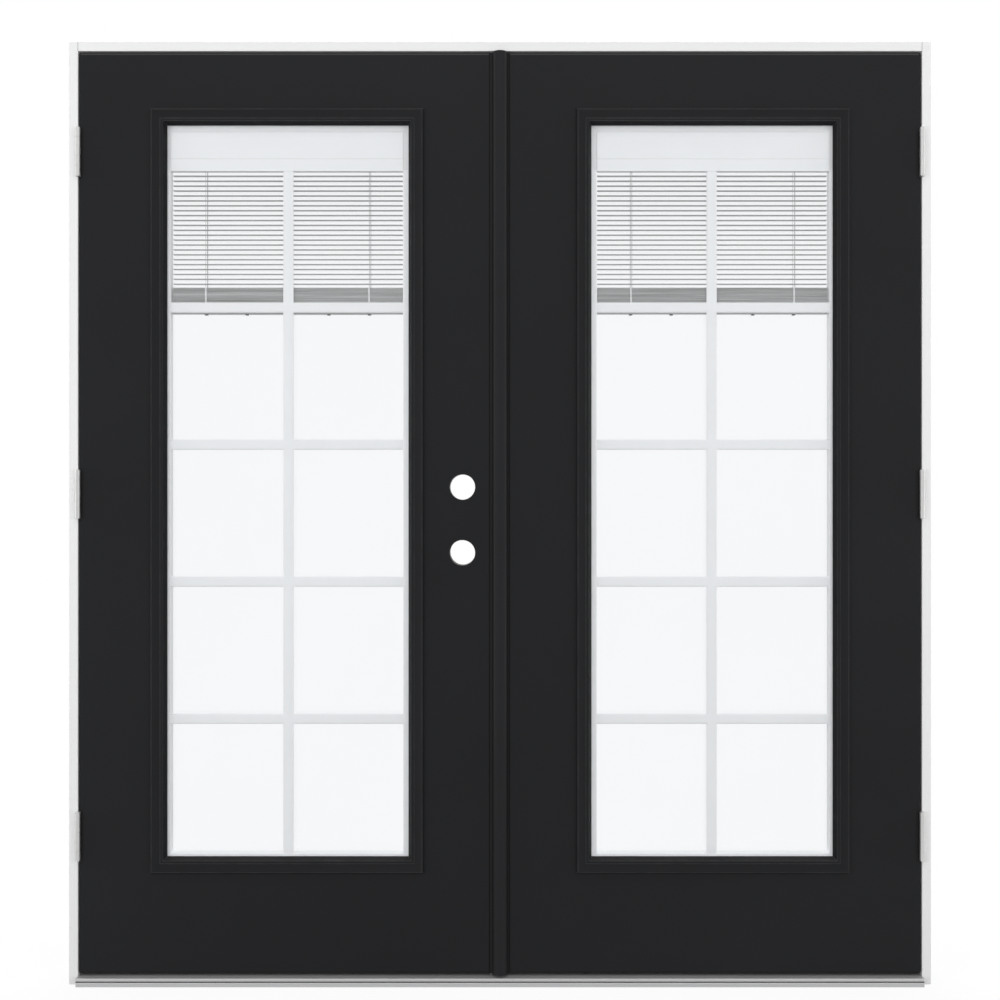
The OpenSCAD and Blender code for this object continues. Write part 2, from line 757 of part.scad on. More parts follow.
// Spacer between the panes, wider at the sides and foot where it shows as white rails
module glass_spacer(side) {
  color(blind_white) on_side(side) along_y(air_y0, air_y1) difference() {
    rect([lite_x0 + spacer_s, lite_z0 + spacer_s], [lite_x1 - spacer_s, lite_z1 - spacer_s]);
    rect([rail_x0, spacer_z], [rail_x1, header_z0 + over]);
    rect([lite_x0 + header_s, header_z0], [lite_x1 - header_s, header_z1]);
  }
}

// Half of a grille bar's section, mirrored to the other half
module bar_section() {
  half = [[bar_w / 2, bar_edge_t / 2], [bar_flat / 2, bar_t / 2]];
  polygon([
    half[0], half[1], [-half[1][0], half[1][1]], [-half[0][0], half[0][1]],
    -half[0], -half[1], [half[1][0], -half[1][1]], [half[0][0], -half[0][1]]
  ]);
}

module grille(side) {
  color(blind_white) on_side(side) {
    translate([lite_cx, bar_y, 0]) along_z(spacer_z, header_z0 - header_lip) bar_section();
    for (i = [1 : grille_rows - 1])
      translate([0, bar_y, grille_z0 + i * grille_pitch])
        along_x(rail_x0, rail_x1) rotate(90) bar_section();
  }
}

// Hollow header over the blind's works, with a grooved cover between its plain ends
module blind_header(side) {
  front = air_y0 + 0.5;
  back = air_y1 - 0.5;
  box_front = front + 2;
  cover_back = box_front + header_wall / 2;
  cover_z0 = header_z0 - header_lip;
  cover_z1 = header_z1 - cover_drop;
  groove_z = header_z0 + header_groove;
  groove = 1.2;
  end_x0 = lite_x0 + header_s;
  end_x1 = lite_x1 - header_s;
  color(blind_white) on_side(side) {
    difference() {
      along_x(end_x0, end_x1) rect([box_front, header_z0], [back, header_z1]);
      along_x(end_x0 - over, end_x1 + over)
        rect([box_front + header_wall, header_z0 + header_wall],
             [back - header_wall, header_z1 - header_wall]);
    }
    along_x(rail_x0, rail_x1) polygon([
      [cover_back, cover_z0], [front, cover_z0], [front, groove_z], [front + groove, groove_z],
      [front + groove, groove_z + groove], [front, groove_z + groove],
      [front, cover_z1 + front - box_front], [box_front, cover_z1], [cover_back, cover_z1]
    ]);
  }
}

// Crowned section of a slat about its own middle
module slat_section() {
  crown = [for (i = [0 : arc_steps]) let (u = 2 * i / arc_steps - 1)
    [u * slat_d / 2, slat_crown * (1 - u * u)]];
  under = [for (i = [arc_steps : -1 : 0]) crown[i] - [0, slat_t]];
  polygon(concat(crown, under));
}

// Ladder cords on both faces of the blind, of a given width, that overlap its edges
module ladders(z0, z1, w) {
  for (x = [-ladder_x, ladder_x])
    for (face = [-1, 1])
      translate([slat_cx + x - w / 2, slat_y + (face * slat_d - ladder_t) / 2, z0])
        cube([w, ladder_t, z1 - z0]);
}

module hanging_slats(side) {
  color(blind_white) on_side(side) {
    for (i = [0 : slat_count - 1])
      translate([slat_cx, slat_y, slat_z - i * slat_pitch])
        along_x(-slat_len / 2, slat_len / 2) slat_section();
    ladders(stack_z1, header_z0, ladder_w);
  }
}

// Gathered slats: one ridge for every few of them, on both faces
module slat_stack(side) {
  pitch = stack_h / stack_ridges;
  edge = [for (i = [0 : stack_ridges - 1]) for (p = [[1, 0], [1, 0.7], [0, 0.85]])
    [slat_d / 2 - stack_ridge_d * (1 - p[0]), stack_z0 + (i + p[1]) * pitch]];
  top = [[slat_d / 2 - stack_ridge_d, stack_z1]];
  outline = concat(edge, top);
  color(blind_white) on_side(side) {
    translate([slat_cx, slat_y, 0]) along_x(-slat_len / 2, slat_len / 2)
      polygon(concat(outline, [for (i = [len(outline) - 1 : -1 : 0]) [-outline[i][0], outline[i][1]]]));
    ladders(stack_z0, stack_z1, 2 * ladder_w);
  }
}

module blind_bottom_rail(side) {
  half_d = slat_d / 2;
  z1 = bottom_rail_z + bottom_rail_h;
  bevel_d = 2.5;
  bevel_h = 7;
  color(blind_white) on_side(side) translate([slat_cx, slat_y, 0]) {
    along_x(-slat_len / 2, slat_len / 2) polygon([
      [-half_d, z1], [half_d, z1], [half_d, bottom_rail_z + bevel_h], [half_d - bevel_d, bottom_rail_z],
      [bevel_d - half_d, bottom_rail_z], [-half_d, bottom_rail_z + bevel_h]
    ]);
    for (x = button_xs)
      translate([x, 0, bottom_rail_z - button_h]) cylinder(h = button_h + over, d = button_d);
  }
}

// Slider on the room side: a grip with a dished top that wraps its rail
module blind_slider(side) {
  track_x = lite_x1 - track_s;
  foot = back_y + cove_low + bead_rise + slide_clear;
  top = foot + slider_h;
  half_w = track_head_w / 2 + 3.2;
  bevel = 2;
  dish_d = 40;
  dish_in = 3;
  color(blind_white) on_side(side) difference() {
    translate([track_x, 0, slider_z]) along_z(-slider_len / 2, slider_len / 2) difference() {
      polygon([
        [-half_w, foot], [half_w, foot], [half_w, top - bevel], [half_w - bevel, top],
        [bevel - half_w, top], [-half_w, top - bevel]
      ]);
      rect([-track_stem_w / 2 - slide_clear, foot - over],
           [track_stem_w / 2 + slide_clear, back_y + track_neck]);
      rect([-track_head_w / 2 - slide_clear, back_y + track_neck - slide_clear],
           [track_head_w / 2 + slide_clear, back_y + track_top + slide_clear]);
    }
    rod_x(track_x - half_w - over, track_x + half_w + over, dish_d, top - dish_in + dish_d / 2, slider_z);
  }
}

// Astragal on the passive leaf, and its bolts

function web_x(y) = web_x0 - web_taper * (y - web_y0) / (back_y - web_y0);

// A shoot bolt at the head with its thumb tab, drawn in
module head_bolt() {
  z1 = leaf_top - bolt_sink;
  translate([0, bolt_y, z1 - bolt_len]) cylinder(h = bolt_len, d = bolt_d);
  box([web_x0 + 0.5, bolt_y - tab_w / 2, z1 - bolt_len + tab_end - tab_h / 2],
      [0, bolt_y + tab_w / 2, z1 - bolt_len + tab_end + tab_h / 2]);
}

// The bore and the thumb slot of the bolt at the head
module head_bolt_way() {
  z0 = leaf_top - bolt_sink - bolt_len;
  translate([0, bolt_y, z0 - over])
    cylinder(h = bolt_len + bolt_sink + 2 * over, d = bolt_d + 2 * run_clear);
  box([-nosing_w, bolt_y - slot_w / 2, z0 + tab_end - tab_h / 2 - slide_clear],
      [0, bolt_y + slot_w / 2, z0 + tab_end + tab_h / 2 + bolt_travel + slide_clear]);
}

// Turns what is drawn at a leaf's head to its foot
module at_foot() {
  translate([0, 0, leaf_top + leaf_bottom]) mirror([0, 0, 1]) children();
}

module astragal() {
  color(leaf_black) difference() {
    along_z(leaf_bottom, leaf_top) {
      intersection() {
        translate([0, face_y - nosing_h + nosing_r]) circle(nosing_r);
        rect([-nosing_w, face_y - nosing_h - over], [nosing_w, face_y]);
      }
      polygon([
        [-nosing_w / 2, face_y], [nosing_w / 2, face_y], [nosing_w / 2, back_y],
        [web_x(back_y), back_y], [web_x0, web_y0]
      ]);
    }
    head_bolt_way();
    at_foot() head_bolt_way();
  }
}

module astragal_seal() {
  tip_x = meet_x("left") + 0.5;
  color(seal_dark) along_z(leaf_bottom, leaf_top) polygon([
    [web_x(seal_y0), seal_y0], [web_x(seal_y1), seal_y1], [tip_x, seal_y1 - 1], [tip_x, seal_y0 + 1]
  ]);
}

module top_shoot_bolt() {
  color(hinge_metal) head_bolt();
}

module bottom_shoot_bolt() {
  color(hinge_metal) at_foot() head_bolt();
}

jamb("left");  // left_jamb
jamb("right");  // right_jamb
head_jamb();
sill_base();
sill_cover();
frame_weatherstrip();
sill_bumper();
frame_hinge_leaves("left");  // left_frame_hinge_leaves
frame_hinge_leaves("right");  // right_frame_hinge_leaves
frame_hinge_screws();
hinge_pins();
outer_skin("left");  // left_outer_skin
inner_skin("left");  // left_inner_skin
hinge_stile("left");  // left_hinge_stile
meeting_stile("left");  // left_lock_stile
inner_rail("left", leaf_top - rail_h);  // left_top_rail
inner_rail("left", leaf_bottom);  // left_bottom_rail
core("left");  // left_core
outer_lite_frame("left");  // left_outer_lite_frame
inner_lite_frame("left");  // left_inner_lite_frame
outer_glass("left");  // left_outer_glass
inner_glass("left");  // left_inner_glass
glass_spacer("left");  // left_glass_spacer
grille("left");  // left_grille
blind_header("left");  // left_blind_header
hanging_slats("left");  // left_hanging_slats
slat_stack("left");  // left_slat_stack
blind_bottom_rail("left");  // left_blind_bottom_rail
blind_slider("left");  // left_blind_slider
lite_screws("left");  // left_lite_screws
door_sweep("left");  // left_door_sweep
door_hinge_leaves("left");  // left_door_hinge_leaves
door_hinge_screws("left");  // left_door_hinge_screws
outer_skin("right");  // right_outer_skin
inner_skin("right");  // right_inner_skin
hinge_stile("right");  // right_hinge_stile
meeting_stile("right");  // right_meeting_stile
inner_rail("right", leaf_top - rail_h);  // right_top_rail
inner_rail("right", leaf_bottom);  // right_bottom_rail
core("right");  // right_core
outer_lite_frame("right");  // right_outer_lite_frame
inner_lite_frame("right");  // right_inner_lite_frame
outer_glass("right");  // right_outer_glass
inner_glass("right");  // right_inner_glass
glass_spacer("right");  // right_glass_spacer
grille("right");  // right_grille
blind_header("right");  // right_blind_header
hanging_slats("right");  // right_hanging_slats
slat_stack("right");  // right_slat_stack
blind_bottom_rail("right");  // right_blind_bottom_rail
blind_slider("right");  // right_blind_slider
lite_screws("right");  // right_lite_screws
door_sweep("right");  // right_door_sweep
door_hinge_leaves("right");  // right_door_hinge_leaves
door_hinge_screws("right");  // right_door_hinge_screws
astragal();
astragal_seal();
top_shoot_bolt();
bottom_shoot_bolt();
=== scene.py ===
import json
import math
import random

import bmesh
import bpy
from mathutils import Matrix, Vector


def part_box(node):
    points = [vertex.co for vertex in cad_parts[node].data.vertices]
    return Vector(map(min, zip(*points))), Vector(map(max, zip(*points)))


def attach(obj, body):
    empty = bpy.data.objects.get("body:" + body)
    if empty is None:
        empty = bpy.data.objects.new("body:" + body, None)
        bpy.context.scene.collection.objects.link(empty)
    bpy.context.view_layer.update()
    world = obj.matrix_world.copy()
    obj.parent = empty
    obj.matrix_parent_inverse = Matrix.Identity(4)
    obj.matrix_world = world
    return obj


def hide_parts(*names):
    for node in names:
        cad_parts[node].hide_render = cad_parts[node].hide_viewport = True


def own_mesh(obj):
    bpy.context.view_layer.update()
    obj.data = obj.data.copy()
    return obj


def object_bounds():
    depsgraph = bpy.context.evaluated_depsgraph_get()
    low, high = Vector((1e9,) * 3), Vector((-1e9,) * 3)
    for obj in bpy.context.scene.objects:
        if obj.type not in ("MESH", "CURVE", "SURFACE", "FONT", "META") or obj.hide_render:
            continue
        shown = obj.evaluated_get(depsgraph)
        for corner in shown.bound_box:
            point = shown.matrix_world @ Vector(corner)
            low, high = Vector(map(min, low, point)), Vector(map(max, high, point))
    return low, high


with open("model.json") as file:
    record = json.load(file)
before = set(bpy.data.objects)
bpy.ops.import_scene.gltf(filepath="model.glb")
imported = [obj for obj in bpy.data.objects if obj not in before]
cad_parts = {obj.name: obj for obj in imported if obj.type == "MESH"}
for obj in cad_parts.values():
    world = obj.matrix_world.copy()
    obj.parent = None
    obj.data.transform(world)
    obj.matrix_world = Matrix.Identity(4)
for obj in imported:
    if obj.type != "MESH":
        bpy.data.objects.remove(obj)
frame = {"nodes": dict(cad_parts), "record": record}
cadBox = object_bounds()
record = frame["record"]
bodyOf = {node: body for body, members in record["behaviour"]["bodies"].items() for node in members}
slotOf = {part["node"]: part["material_slot"] for part in record["subparts"]}
scene = bpy.context.scene
scene.view_settings.view_transform = "Standard"
mm = 0.001
near = 0.000001  # two places that are meant to be one
print("doors: frame loaded,", len(frame["nodes"]), "nodes")

# camera, as the photograph was taken: level, square to the doors
cameraView = {"place": (0.0, -2.558, 1.0271), "lens": 42.45, "sensor": 36.0}
cameraData = bpy.data.cameras.new("photoCamera")
cameraData.lens = cameraView["lens"]
cameraData.sensor_width = cameraView["sensor"]
photoCamera = bpy.data.objects.new("photoCamera", cameraData)
photoCamera.location = cameraView["place"]
photoCamera.rotation_euler = (math.radians(90), 0, 0)
scene.collection.objects.link(photoCamera)
scene.camera = photoCamera


# effects that several finishes share

def newGroup(name, inputs, outputs):
    # an input without a default is a vector, all else is a value
    tree = bpy.data.node_groups.new(name, "ShaderNodeTree")
    for label, value in inputs.items():
        kind = "NodeSocketVector" if value is None else "NodeSocketFloat"
        socket = tree.interface.new_socket(name=label, in_out="INPUT", socket_type=kind)
        if value is not None:
            socket.default_value = value
    for label in outputs:
        tree.interface.new_socket(name=label, in_out="OUTPUT", socket_type="NodeSocketFloat")
    return tree, tree.nodes.new("NodeGroupInput"), tree.nodes.new("NodeGroupOutput")


def addNode(tree, kind, values=None, **settings):
    node = tree.nodes.new(kind)
    for label, value in settings.items():
        setattr(node, label, value)
    for label, value in (values or {}).items():
        node.inputs[label].default_value = value
    return node


def makeMottle():
    # slow tone changes and a fine stipple, as sprayed paint and moulded plastic have
    tree, start, end = newGroup("mottle", {"Vector": None, "Broad": 5.0, "Fine": 900.0}, ("Tone", "Height"))
    broad = addNode(tree, "ShaderNodeTexNoise", {"Detail": 3.0, "Roughness": 0.55})
    fine = addNode(tree, "ShaderNodeTexNoise", {"Detail": 2.0, "Roughness": 0.5})
    for noise, label in ((broad, "Broad"), (fine, "Fine")):
        tree.links.new(start.outputs["Vector"], noise.inputs["Vector"])
        tree.links.new(start.outputs[label], noise.inputs["Scale"])
    tree.links.new(broad.outputs["Fac"], end.inputs["Tone"])
    tree.links.new(fine.outputs["Fac"], end.inputs["Height"])
    return tree


def makeGrain():
    # lines along a piece: brush marks, rolled metal, extrusion lines
    tree, start, end = newGroup(
        "lengthGrain", {"Vector": None, "Stretch": None, "Contrast": 1.0}, ("Lines", "Height"))
    mapping = addNode(tree, "ShaderNodeMapping")
    noise = addNode(tree, "ShaderNodeTexNoise", {"Scale": 1.0, "Detail": 5.0, "Roughness": 0.62})
    shift = addNode(tree, "ShaderNodeMath", {1: 0.5}, operation="SUBTRACT")
    gain = addNode(tree, "ShaderNodeMath", operation="MULTIPLY")
    back = addNode(tree, "ShaderNodeMath", {1: 0.5}, operation="ADD", use_clamp=True)
    tree.links.new(start.outputs["Vector"], mapping.inputs["Vector"])
    tree.links.new(start.outputs["Stretch"], mapping.inputs["Scale"])
    tree.links.new(mapping.outputs["Vector"], noise.inputs["Vector"])
    tree.links.new(noise.outputs["Fac"], shift.inputs[0])
    tree.links.new(shift.outputs[0], gain.inputs[0])
    tree.links.new(start.outputs["Contrast"], gain.inputs[1])
    tree.links.new(gain.outputs[0], back.inputs[0])
    tree.links.new(back.outputs[0], end.inputs["Lines"])
    tree.links.new(noise.outputs["Fac"], end.inputs["Height"])
    return tree


def makeEdgeWearAndHighlight():
    # edges lightened in colour, as a painted highlight and as polish from hands and dusters, broken up so
    # that they don't read as an outline
    tree, start, end = newGroup("edgeRub", {"Vector": None, "Amount": 0.5, "Reach": 0.0012}, ("Mask",))
    shape = addNode(tree, "ShaderNodeNewGeometry")
    rounded = addNode(tree, "ShaderNodeBevel", samples=4)
    turn = addNode(tree, "ShaderNodeVectorMath", operation="DOT_PRODUCT")
    edge = addNode(tree, "ShaderNodeMapRange", {"From Min": 0.99, "From Max": 0.92})
    breaks = addNode(tree, "ShaderNodeTexNoise", {"Scale": 34.0, "Detail": 4.0})
    both = addNode(tree, "ShaderNodeMath", operation="MULTIPLY")
    level = addNode(tree, "ShaderNodeMath", operation="MULTIPLY", use_clamp=True)
    tree.links.new(start.outputs["Reach"], rounded.inputs["Radius"])
    tree.links.new(shape.outputs["Normal"], turn.inputs[0])
    tree.links.new(rounded.outputs["Normal"], turn.inputs[1])
    tree.links.new(turn.outputs["Value"], edge.inputs["Value"])
    tree.links.new(start.outputs["Vector"], breaks.inputs["Vector"])
    tree.links.new(edge.outputs["Result"], both.inputs[0])
    tree.links.new(breaks.outputs["Fac"], both.inputs[1])
    tree.links.new(both.outputs[0], level.inputs[0])
    tree.links.new(start.outputs["Amount"], level.inputs[1])
    tree.links.new(level.outputs[0], end.inputs["Mask"])
    return tree


def makeDustAndTopLight():
    # a trace of dust on whatever faces up; on the black pieces its lighter colour is also painted light
    # from above
    tree, start, end = newGroup("settledDust", {"Vector": None, "Amount": 0.2}, ("Mask",))
    shape = addNode(tree, "ShaderNodeNewGeometry")
    split = addNode(tree, "ShaderNodeSeparateXYZ")
    up = addNode(tree, "ShaderNodeMapRange", {"From Min": 0.45, "From Max": 1.0})
    patches = addNode(tree, "ShaderNodeTexNoise", {"Scale": 16.0, "Detail": 5.0})
    both = addNode(tree, "ShaderNodeMath", operation="MULTIPLY")
    level = addNode(tree, "ShaderNodeMath", operation="MULTIPLY", use_clamp=True)
    tree.links.new(shape.outputs["Normal"], split.inputs[0])
    tree.links.new(split.outputs["Z"], up.inputs["Value"])
    tree.links.new(start.outputs["Vector"], patches.inputs["Vector"])
    tree.links.new(up.outputs["Result"], both.inputs[0])
    tree.links.new(patches.outputs["Fac"], both.inputs[1])
    tree.links.new(both.outputs[0], level.inputs[0])
    tree.links.new(start.outputs["Amount"], level.inputs[1])
    tree.links.new(level.outputs[0], end.inputs["Mask"])
    return tree


mottleGroup = makeMottle()
grainGroup = makeGrain()
edgeWearAndHighlightGroup = makeEdgeWearAndHighlight()
dustAndTopLightGroup = makeDustAndTopLight()
dustAndTopLightColor = (0.40, 0.385, 0.36, 1)


def useGroup(tree, group, coords, **values):
    node = tree.nodes.new("ShaderNodeGroup")
    node.node_tree = group
    tree.links.new(coords, node.inputs["Vector"])
    for label, value in values.items():
        node.inputs[label].default_value = value
    return node


def blendColor(tree, factor, first, second):
    mix = addNode(tree, "ShaderNodeMix", data_type="RGBA")
    tree.links.new(factor, mix.inputs["Factor"])
    for socket, value in ((mix.inputs[6], first), (mix.inputs[7], second)):
        if isinstance(value, tuple):
            socket.default_value = value if len(value) == 4 else value + (1,)
        else:
            tree.links.new(value, socket)
    return mix.outputs[2]


def startFinish(name, look):
    # what every finish has: Object coordinates, a mottle, and a roughness that follows it
    mat = bpy.data.materials.new(name)
    mat.use_nodes = True
    tree = mat.node_tree
    shader = tree.nodes["Principled BSDF"]
    coords = addNode(tree, "ShaderNodeTexCoord").outputs["Object"]
    mottle = useGroup(tree, mottleGroup, coords, Broad=look.get("broad", 5.0), Fine=look.get("fine", 900.0))
    rough = addNode(tree, "ShaderNodeMapRange", {"To Min": look["rough"][0], "To Max": look["rough"][1]})
    tree.links.new(mottle.outputs["Tone"], rough.inputs["Value"])
    tree.links.new(rough.outputs["Result"], shader.inputs["Roughness"])
    return mat, tree, shader, coords, mottle


def makeFinish(name, look):
    # one opaque finish: tone over the surface, rubbed edges that carry a painted highlight, dust that also
    # paints light from above, and bump
    mat, tree, shader, coords, mottle = startFinish(name, look)
    tone, height = mottle.outputs["Tone"], mottle.outputs["Height"]
    if "stretch" in look:
        grain = useGroup(tree, grainGroup, coords, Stretch=look["stretch"], Contrast=look["contrast"])
        tone, height = grain.outputs["Lines"], grain.outputs["Height"]
    color = blendColor(tree, tone, look["dark"], look["light"])
    # rubbed edges: a lighter colour along convex edges, a painted highlight as well as wear
    if look.get("rub"):
        rub = useGroup(tree, edgeWearAndHighlightGroup, coords, Amount=look["rub"], Reach=look.get("rubReach", 0.0012))
        color = blendColor(tree, rub.outputs["Mask"], color, look["rubColor"])
    # dust on upward faces, which on the black pieces is also painted top light
    if look.get("dust"):
        dust = useGroup(tree, dustAndTopLightGroup, coords, Amount=look["dust"])
        color = blendColor(tree, dust.outputs["Mask"], color, dustAndTopLightColor)
    tree.links.new(color, shader.inputs["Base Color"])
    strength = look.get("bumpStrength", 0.3)
    bump = addNode(tree, "ShaderNodeBump", {"Strength": strength, "Distance": look["bump"]})
    tree.links.new(height, bump.inputs["Height"])
    tree.links.new(bump.outputs["Normal"], shader.inputs["Normal"])
    shader.inputs["Metallic"].default_value = look.get("metallic", 0.0)
    shader.inputs["Specular IOR Level"].default_value = look.get("specular", 0.5)
    return mat


def makeGlass(name, look):
    # clear pane: lets lamp light through to the blind behind it
    mat, tree, shader, coords, mottle = startFinish(name, look)
    shader.inputs["Transmission Weight"].default_value = 1.0
    shader.inputs["IOR"].default_value = look["ior"]
    color = blendColor(tree, mottle.outputs["Tone"], look["dark"], look["light"])
    tree.links.new(color, shader.inputs["Base Color"])
    path = addNode(tree, "ShaderNodeLightPath")
    either = addNode(tree, "ShaderNodeMath", operation="MAXIMUM")
    clear = addNode(tree, "ShaderNodeBsdfTransparent", {"Color": look["light"] + (1,)})
    choose = addNode(tree, "ShaderNodeMixShader")
    tree.links.new(path.outputs["Is Shadow Ray"], either.inputs[0])
    tree.links.new(path.outputs["Is Diffuse Ray"], either.inputs[1])
    tree.links.new(either.outputs[0], choose.inputs["Fac"])
    tree.links.new(shader.outputs["BSDF"], choose.inputs[1])
    tree.links.new(clear.outputs["BSDF"], choose.inputs[2])
    tree.links.new(choose.outputs["Shader"], tree.nodes["Material Output"].inputs["Surface"])
    return mat


# the black finishes' rub colour is a painted highlight along their edges
blackLook = {"dark": (0.0104, 0.0107, 0.0116), "light": (0.0146, 0.0150, 0.0161), "broad": 3.0,
             "fine": 700.0, "rough": (0.40, 0.50), "bump": 0.00002, "specular": 0.10, "rub": 0.6,
             "rubColor": (0.045, 0.045, 0.048, 1), "dust": 0.14}
whiteLook = {"dark": (0.76, 0.76, 0.755), "light": (0.83, 0.83, 0.825), "contrast": 0.8,
             "rough": (0.36, 0.48), "bump": 0.00004, "dust": 0.12}
finishes = {
    "leafBlack": makeFinish("leafBlack", blackLook),
    # lite frames: the strong, wide edge colour paints the highlight along their bevels
    "liteBlack": makeFinish("liteBlack", {
        **blackLook, "dark": (0.0116, 0.0119, 0.0128), "light": (0.0158, 0.0162, 0.0173), "fine": 1500.0,
        "rough": (0.40, 0.48), "specular": 0.08, "rub": 1.0, "rubReach": 0.0024,
        "rubColor": (0.115, 0.115, 0.120, 1), "dust": 0.05}),
    # astragal: its rubbed edges carry a painted highlight
    "astragalBlack": makeFinish("astragalBlack", {
        **blackLook, "dark": (0.0124, 0.0127, 0.0137), "light": (0.0166, 0.0170, 0.0182),
        "rough": (0.26, 0.34), "specular": 0.11, "rub": 0.9, "rubReach": 0.002}),
    # top hem: a lighter black, a painted highlight along each leaf's top edge
    "hemBlack": makeFinish("hemBlack", {
        **blackLook, "dark": (0.046, 0.0465, 0.048), "light": (0.056, 0.0565, 0.058)}),
    # grey of the head-to-jamb joints: painted shade of the groove there
    "jointGrey": makeFinish("jointGrey", {
        "dark": (0.26, 0.26, 0.255), "light": (0.36, 0.36, 0.355), "rough": (0.6, 0.75), "bump": 0.00003}),
    "jambWhite": makeFinish("jambWhite", {**whiteLook, "stretch": (240.0, 240.0, 2.5)}),
    "headWhite": makeFinish("headWhite", {**whiteLook, "stretch": (2.5, 240.0, 240.0)}),
    "liteWhite": makeFinish("liteWhite", {
        "dark": (0.84, 0.845, 0.845), "light": (0.885, 0.89, 0.89), "broad": 8.0, "fine": 1200.0,
        "rough": (0.38, 0.48), "bump": 0.00002}),
    # glass spacer: whiter than the blind's white, as painted light against the shade of the lite frame's
    # lip
    "spacerWhite": makeFinish("spacerWhite", {
        "dark": (0.925, 0.93, 0.93), "light": (0.95, 0.955, 0.955), "broad": 8.0, "fine": 1200.0,
        "rough": (0.38, 0.48), "bump": 0.00002}),
    # slats: white enamel coloured mid-grey, painted shade for their shaded undersides
    "slatWhite": makeFinish("slatWhite", {
        "dark": (0.45, 0.45, 0.445), "light": (0.545, 0.545, 0.54), "stretch": (3.0, 300.0, 300.0),
        "contrast": 0.9, "rough": (0.30, 0.42), "bump": 0.00002}),
    # gathered slats: the same white enamel, made darker and banded as painted shade between the packed
    # slats
    "stackWhite": makeFinish("stackWhite", {
        "dark": (0.34, 0.34, 0.335), "light": (0.77, 0.77, 0.765), "stretch": (4.0, 40.0, 420.0),
        "contrast": 2.4, "rough": (0.34, 0.46), "bump": 0.00003}),
    "tapeWhite": makeFinish("tapeWhite", {
        "dark": (0.72, 0.72, 0.72), "light": (0.84, 0.84, 0.84), "stretch": (900.0, 900.0, 2600.0),
        "contrast": 1.5, "rough": (0.70, 0.85), "bump": 0.00008, "bumpStrength": 0.6}),
    "sillAluminium": makeFinish("sillAluminium", {
        "dark": (0.43, 0.43, 0.435), "light": (0.55, 0.55, 0.555), "stretch": (1.6, 900.0, 900.0),
        "contrast": 1.4, "broad": 9.0, "rough": (0.46, 0.58), "bump": 0.00003, "metallic": 0.55,
        "dust": 0.15}),
    # hinge: its lighter rubbed edges are a painted highlight
    "hingeNickel": makeFinish("hingeNickel", {
        "dark": (0.50, 0.50, 0.495), "light": (0.67, 0.67, 0.66), "stretch": (800.0, 800.0, 14.0),
        "contrast": 1.4, "rough": (0.42, 0.52), "bump": 0.00002, "metallic": 0.95, "rub": 0.5,
        "rubColor": (0.80, 0.80, 0.79, 1)}),
    "screwZinc": makeFinish("screwZinc", {
        "dark": (0.42, 0.42, 0.43), "light": (0.58, 0.58, 0.60), "broad": 160.0, "fine": 2400.0,
        "rough": (0.30, 0.45), "bump": 0.00002, "metallic": 1.0}),
    "sealBlack": makeFinish("sealBlack", {
        "dark": (0.009, 0.009, 0.009), "light": (0.020, 0.020, 0.020), "broad": 40.0, "fine": 1800.0,
        "rough": (0.70, 0.88), "bump": 0.00012, "bumpStrength": 0.5, "specular": 0.3}),
    "coreFoam": makeFinish("coreFoam", {
        "dark": (0.62, 0.52, 0.30), "light": (0.74, 0.65, 0.42), "broad": 30.0, "fine": 700.0,
        "rough": (0.85, 0.95), "bump": 0.0003, "bumpStrength": 0.6}),
    "sliderWhite": makeFinish("sliderWhite", {
        "dark": (0.72, 0.72, 0.715), "light": (0.80, 0.80, 0.795), "broad": 50.0, "fine": 1500.0,
        "rough": (0.32, 0.42), "bump": 0.00002}),
    "buttonGrey": makeFinish("buttonGrey", {
        "dark": (0.05, 0.05, 0.05), "light": (0.10, 0.10, 0.10), "broad": 90.0, "fine": 1800.0,
        "rough": (0.38, 0.50), "bump": 0.00002}),
    "paneGlass": makeGlass("paneGlass", {
        "dark": (0.950, 0.955, 0.963), "light": (0.970, 0.974, 0.980), "broad": 2.0, "fine": 60.0,
        "rough": (0.0, 0.006), "ior": 1.5}),
}
slotFinish = {
    "frame_paint": "jambWhite", "sill_metal": "sillAluminium", "seal_rubber": "sealBlack",
    "hinge_metal": "hingeNickel", "screw_steel": "screwZinc", "leaf_paint": "leafBlack",
    "core_foam": "coreFoam", "lite_frame_plastic": "liteBlack", "pane_glass": "paneGlass",
    "lite_white": "liteWhite", "blind_white": "slatWhite", "slider_plastic": "sliderWhite",
}
nodeFinish = {"head_jamb": "headWhite", "left_glass_spacer": "spacerWhite",
              "right_glass_spacer": "spacerWhite", "astragal": "astragalBlack"}


def finishOf(node):
    return finishes[nodeFinish.get(node, slotFinish[slotOf[node]])]


for node, obj in frame["nodes"].items():
    obj.data.materials.clear()
    obj.data.materials.append(finishOf(node))
print("doors: finishes made,", len(finishes))


# pieces

shading = {"sharpFrom": 40.0, "normalWeight": 100}


def placePiece(name, bm, finish, body, replaced=()):
    # turns a finished bmesh into a piece that rides on a body
    limit = math.radians(shading["sharpFrom"])
    for face in bm.faces:
        face.smooth = True
    for edge in bm.edges:
        edge.smooth = len(edge.link_faces) == 2 and edge.calc_face_angle(math.pi) < limit
    mesh = bpy.data.meshes.new(name)
    bm.to_mesh(mesh)
    bm.free()
    mesh.materials.append(finish)
    piece = bpy.data.objects.new(name, mesh)
    scene.collection.objects.link(piece)
    even = piece.modifiers.new("evenNormals", "WEIGHTED_NORMAL")
    even.keep_sharp = True
    even.weight = shading["normalWeight"]
    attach(piece, body)
    if replaced:
        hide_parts(*replaced)
    return piece


def easeEdges(bm, edges, width, steps):
    bmesh.ops.bevel(bm, geom=edges, offset=width * mm, offset_type="OFFSET", segments=steps, profile=0.5,
                    affect="EDGES", clamp_overlap=True, material=-1)


# merging distance and shortest eased edge in millimetres, angles in degrees
soften = {"merge": 0.002, "flatWithin": 0.5, "fromAngle": 25.0, "shortest": 4.0, "steps": 3}


